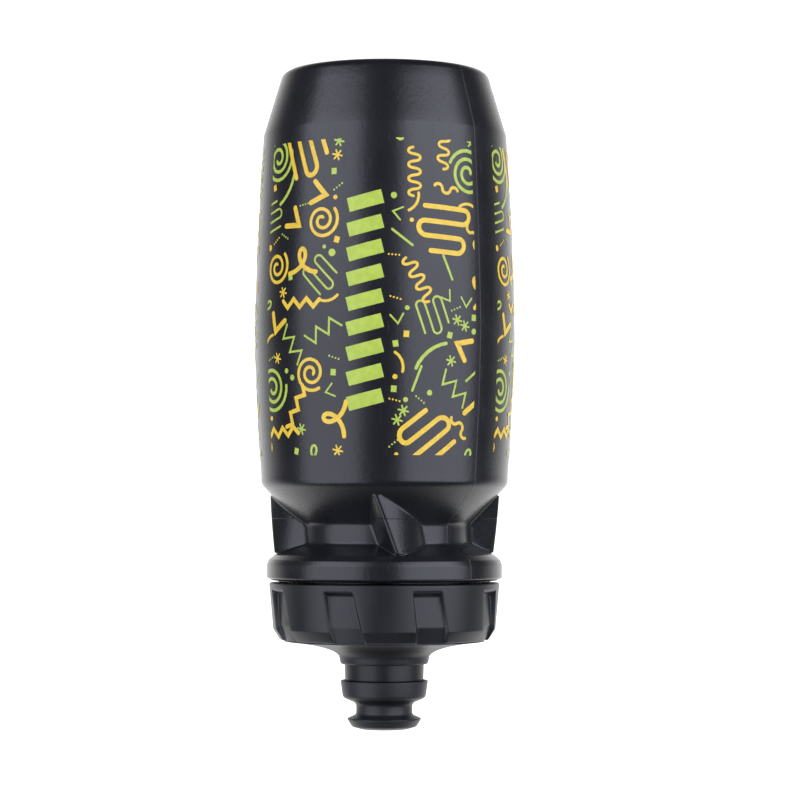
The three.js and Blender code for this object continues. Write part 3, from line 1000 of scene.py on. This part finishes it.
def curl(length, loop):
    """A line that makes one loop on its way."""
    reach = length / math.tau
    points = []
    for step in range(49):
        angle = math.tau * (step / 48 - 0.5)
        across = reach * angle - loop * math.sin(angle)
        points.append(Vector((across, loop * 0.9 - loop * math.cos(angle))))
    return points


def meander(runs, first, growth, pitch):
    """Runs there and back, joined by round turns; each run is longer than the last."""
    points = []
    for run in range(runs):
        half = (first + growth * run) / 2
        way = 1 if run % 2 else -1
        level = (run - (runs - 1) / 2) * pitch
        points.append(Vector((-way * half, level)))
        if run < runs - 1:
            for step in range(11):
                angle = math.pi * step / 10
                turn = Vector((way * math.sin(angle), 1 - math.cos(angle))) * pitch / 2
                slip = way * growth / 2 * step / 10
                points.append(Vector((way * half + slip, level)) + turn)
        else:
            points.append(Vector((way * half, level)))
    return points


def stair(steps, size):
    points = [Vector((-steps * size / 2, -steps * size / 2))]
    for _ in range(steps):
        points.append(points[-1] + Vector((0, size)))
        points.append(points[-1] + Vector((size, 0)))
    return points


def chevron(width, height):
    return [Vector((-width / 2, -height / 2)), Vector((0, height / 2)), Vector((width / 2, -height / 2))]


# %% A stroke with a width
STROKE_STEP = 0.8
CLOSEST = 0.01                       # stations nearer than this are one


def ribbon(line, width, square=False):
    """Stations along a line: place, side direction and half width, with round or square ends."""
    line = [
        point for point, last in zip(line, [None, *line])
        if last is None or (point - last).length > CLOSEST
    ]
    half = width / 2
    total = sum((there - here).length for here, there in zip(line, line[1:]))
    caps = [] if square else [half * (1 - math.cos(math.pi / 10 * step)) for step in range(1, 6)]
    marks = sorted([0.0, total] + caps + [total - cap for cap in caps])
    stations = []
    walked = 0.0
    for here, there in zip(line, line[1:]):
        gap = there - here
        length = gap.length
        inner = [mark - walked for mark in marks if walked + 1e-4 < mark < walked + length - 1e-4]
        count = max(1, math.ceil(length / STROKE_STEP))
        places = sorted({0.0, *inner, *(length * part / count for part in range(1, count))})
        stations += [(here + gap * place / length, walked + place) for place in places]
        walked += length
    stations.append((line[-1], total))
    stations = [
        spot for spot, last in zip(stations, [None, *stations])
        if not last or spot[1] - last[1] > CLOSEST
    ]
    full = []
    for index, (point, distance) in enumerate(stations):
        before = stations[max(0, index - 1)][0]
        after = stations[min(len(stations) - 1, index + 1)][0]
        arrive = (point - before).normalized() if index else (after - point).normalized()
        leave = (after - point).normalized() if index < len(stations) - 1 else arrive
        middle = (arrive + leave).normalized()
        side = Vector((-middle.y, middle.x))
        stretch = 1 / max(0.42, middle.dot(arrive))
        near = min(distance, total - distance)
        reach = half
        if not square and near < half:
            reach = half * math.sqrt(max(0.0, 1 - (1 - near / half) ** 2))
        full.append((point, side * stretch, reach))
    return full


class Sheet:
    """A flat sheet of strokes in one ink."""

    def __init__(self, name):
        self.name = name
        self.places = []
        self.faces = []

    def stroke(self, line, across, along, turn=0.0, width=1.0, square=False):
        """Lays a line at a place on the sheet, turned in degrees."""
        angle = math.radians(turn)
        cosine, sine = math.cos(angle), math.sin(angle)
        lanes = max(1, math.ceil(width / 1.2))
        first = len(self.places)
        stations = ribbon(line, width, square)
        for point, side, reach in stations:
            for lane in range(lanes + 1):
                spot = point + side * reach * (2 * lane / lanes - 1)
                place = (across + spot.x * cosine - spot.y * sine, along + spot.x * sine + spot.y * cosine)
                self.places.append((place[0] * MM, 0, place[1] * MM))
        row = lanes + 1
        for index in range(len(stations) - 1):
            for lane in range(lanes):
                corner = first + index * row + lane
                self.faces.append((corner, corner + 1, corner + row + 1, corner + row))

    def disc(self, across, along, radius, tall=1.0):
        self.stroke(bar(2 * radius * tall), across, along, 90, 2 * radius)

    def block(self, across, along, width, height, turn=0.0):
        self.stroke(bar(width), across, along, turn, height, square=True)

    def dots(self, count, length, across, along, turn, radius):
        angle = math.radians(turn)
        for index in range(count):
            reach = length * (index / (count - 1) - 0.5)
            self.disc(across + reach * math.cos(angle), along + reach * math.sin(angle), radius)

    def star(self, across, along, radius, arms, width):
        for index in range(arms):
            self.stroke(bar(2 * radius), across, along, 12 + 180 * index / arms, width)


# %% Scatter the marks over the sheets
PANEL = (-41.0, 28.6)                # edges of the sheet round the barrel
PRINT_LOW = 23.6
PRINT_HIGH = 113.0
BARS = 9
BAR_COLUMN = -5.5                    # middle of the column of slanted bars
BAR_ROOM = 7.0                       # half the width that the column keeps to itself
yellow = Sheet("print_yellow")
green = Sheet("print_green")
dice = random.Random(29)
taken = []


def free_place(reach, closeness):
    """A random place clear of the bars and of the marks laid so far, or None if there is no room."""
    for _ in range(300):
        across = dice.uniform(PANEL[0], PANEL[1])
        along = dice.uniform(PRINT_LOW, PRINT_HIGH)
        if abs(across - BAR_COLUMN) < BAR_ROOM + reach * 0.8:
            continue
        if all(math.hypot(across - x, along - y) > (reach + other) * closeness for x, y, other in taken):
            taken.append((across, along, reach))
            return across, along
    return None


# Large and middling marks: ink, centre line, width and reach from the middle.
KINDS = [
    (yellow, meander(4, 9.0, 1.6, 4.2), 1.4, 8.5),
    (green, spiral(2.5, 7.0, 40), 1.0, 7.0),
    (yellow, curl(11.0, 3.4), 1.3, 6.0),
    (green, zigzag(12.0, 2.5, 4.0), 0.6, 6.0),
    (yellow, wave(14.0, 3.5, 3.6), 0.8, 6.6),
    (green, meander(4, 7.0, 0.4, 2.6), 0.6, 5.6),
    (yellow, stair(3, 3.4), 1.2, 5.6),
    (green, arc(12.0, 62), 1.0, 6.0),
    (yellow, spiral(2.0, 5.2, 160), 0.95, 5.4),
    (yellow, chevron(7.0, 5.0), 1.5, 4.2),
    (green, curl(8.5, 2.7), 0.75, 4.6),
    (yellow, wave(8.0, 1.5, 2.2), 0.9, 4.2),
    (green, bar(8.0), 0.7, 4.0),
    (yellow, arc(5.0, 80), 0.8, 3.4),
    (green, chevron(4.0, 2.8), 0.5, 2.6),
]
ROUNDS = 5
LARGE_CLOSENESS = 0.82               # below 1, the reaches of two large marks may overlap
for _ in range(ROUNDS):
    for sheet, line, width, reach in KINDS:
        spot = free_place(reach, LARGE_CLOSENESS)
        if spot:
            sheet.stroke(line, *spot, dice.uniform(0, 360), width)

# Small marks fill the gaps.
SMALL_TRIES = 170
SMALL_REACH = 1.5
for index in range(SMALL_TRIES):
    sheet = green if index % 3 else yellow
    spot = free_place(SMALL_REACH, 1.0)
    if spot and index % 4 == 0:
        sheet.star(*spot, 1.7, 3 + index % 2, 0.5)
    elif spot and index % 4 == 1:
        sheet.block(*spot, 1.6, 1.8, dice.uniform(-20, 20))
    elif spot and index % 4 == 2:
        sheet.disc(*spot, dice.uniform(0.5, 1.1))
    elif spot:
        sheet.dots(4, 3.0, *spot, dice.uniform(-40, 40), 0.28)

for index in range(BARS):
    green.block(BAR_COLUMN, 41.5 + index * 7.0, 10.4, 4.0, -14)
print("marks:", len(taken), "places:", len(yellow.places), len(green.places))

# %% Trim the sheets, give them thickness and wrap them
PANELS = 3
INK = 0.045
outer_line = [point for point in body_points if point.x > WAIST]


def skin_radius(height):
    """The body's outer radius at a height in the printed zone."""
    for here, there in zip(outer_line, outer_line[1:]):
        if here.y <= height <= there.y:
            return here.x + (there.x - here.x) * (height - here.y) / (there.y - here.y)
    return belly


def trim(spot, direction):
    bpy.ops.mesh.select_all(action="SELECT")
    bpy.ops.mesh.bisect(plane_co=spot, plane_no=direction, clear_outer=True)


def wrap(piece, turn, lift):
    """Bends the flat sheet round the barrel, lift millimetres above its skin."""
    for vertex in piece.data.vertices:
        across, out, height = vertex.co / MM
        radius = skin_radius(height) + lift - out
        angle = across / belly + turn
        vertex.co = Vector((-radius * math.sin(angle), -radius * math.cos(angle), height)) * MM


def print_sheet(sheet, finish, lift):
    mesh = bpy.data.meshes.new(sheet.name)
    mesh.from_pydata(sheet.places, [], sheet.faces)
    flat = bpy.data.objects.new(sheet.name, mesh)
    bpy.context.collection.objects.link(flat)
    bpy.ops.object.select_all(action="DESELECT")
    flat.select_set(True)
    bpy.context.view_layer.objects.active = flat
    bpy.ops.object.mode_set(mode="EDIT")
    bpy.ops.mesh.select_all(action="SELECT")
    bpy.ops.mesh.remove_doubles(threshold=0.004 * MM)
    trim((PANEL[0] * MM, 0, 0), (-1, 0, 0))
    trim((PANEL[1] * MM, 0, 0), (1, 0, 0))
    trim((0, 0, PRINT_LOW * MM), (0, 0, -1))
    trim((0, 0, PRINT_HIGH * MM), (0, 0, 1))
    bpy.ops.object.mode_set(mode="OBJECT")
    thick = flat.modifiers.new("ink", "SOLIDIFY")
    thick.thickness = INK * MM
    thick.offset = 0
    bpy.ops.object.modifier_apply(modifier=thick.name)
    copies = []
    for index in range(PANELS):
        copy = flat.copy()
        copy.data = flat.data.copy()
        bpy.context.collection.objects.link(copy)
        wrap(copy, math.tau * index / PANELS, lift)
        copies.append(copy)
    bpy.data.objects.remove(flat)
    whole = join(*copies)
    whole.name = sheet.name
    bpy.ops.object.mode_set(mode="EDIT")
    bpy.ops.mesh.select_all(action="SELECT")
    bpy.ops.mesh.normals_make_consistent(inside=False)
    bpy.ops.object.mode_set(mode="OBJECT")
    bpy.ops.object.shade_smooth_by_angle(angle=math.radians(40))
    settle(whole, "bottle", "body_plastic", finish=finish)


print_sheet(green, "green_ink", 0.05)
print_sheet(yellow, "yellow_ink", 0.06)
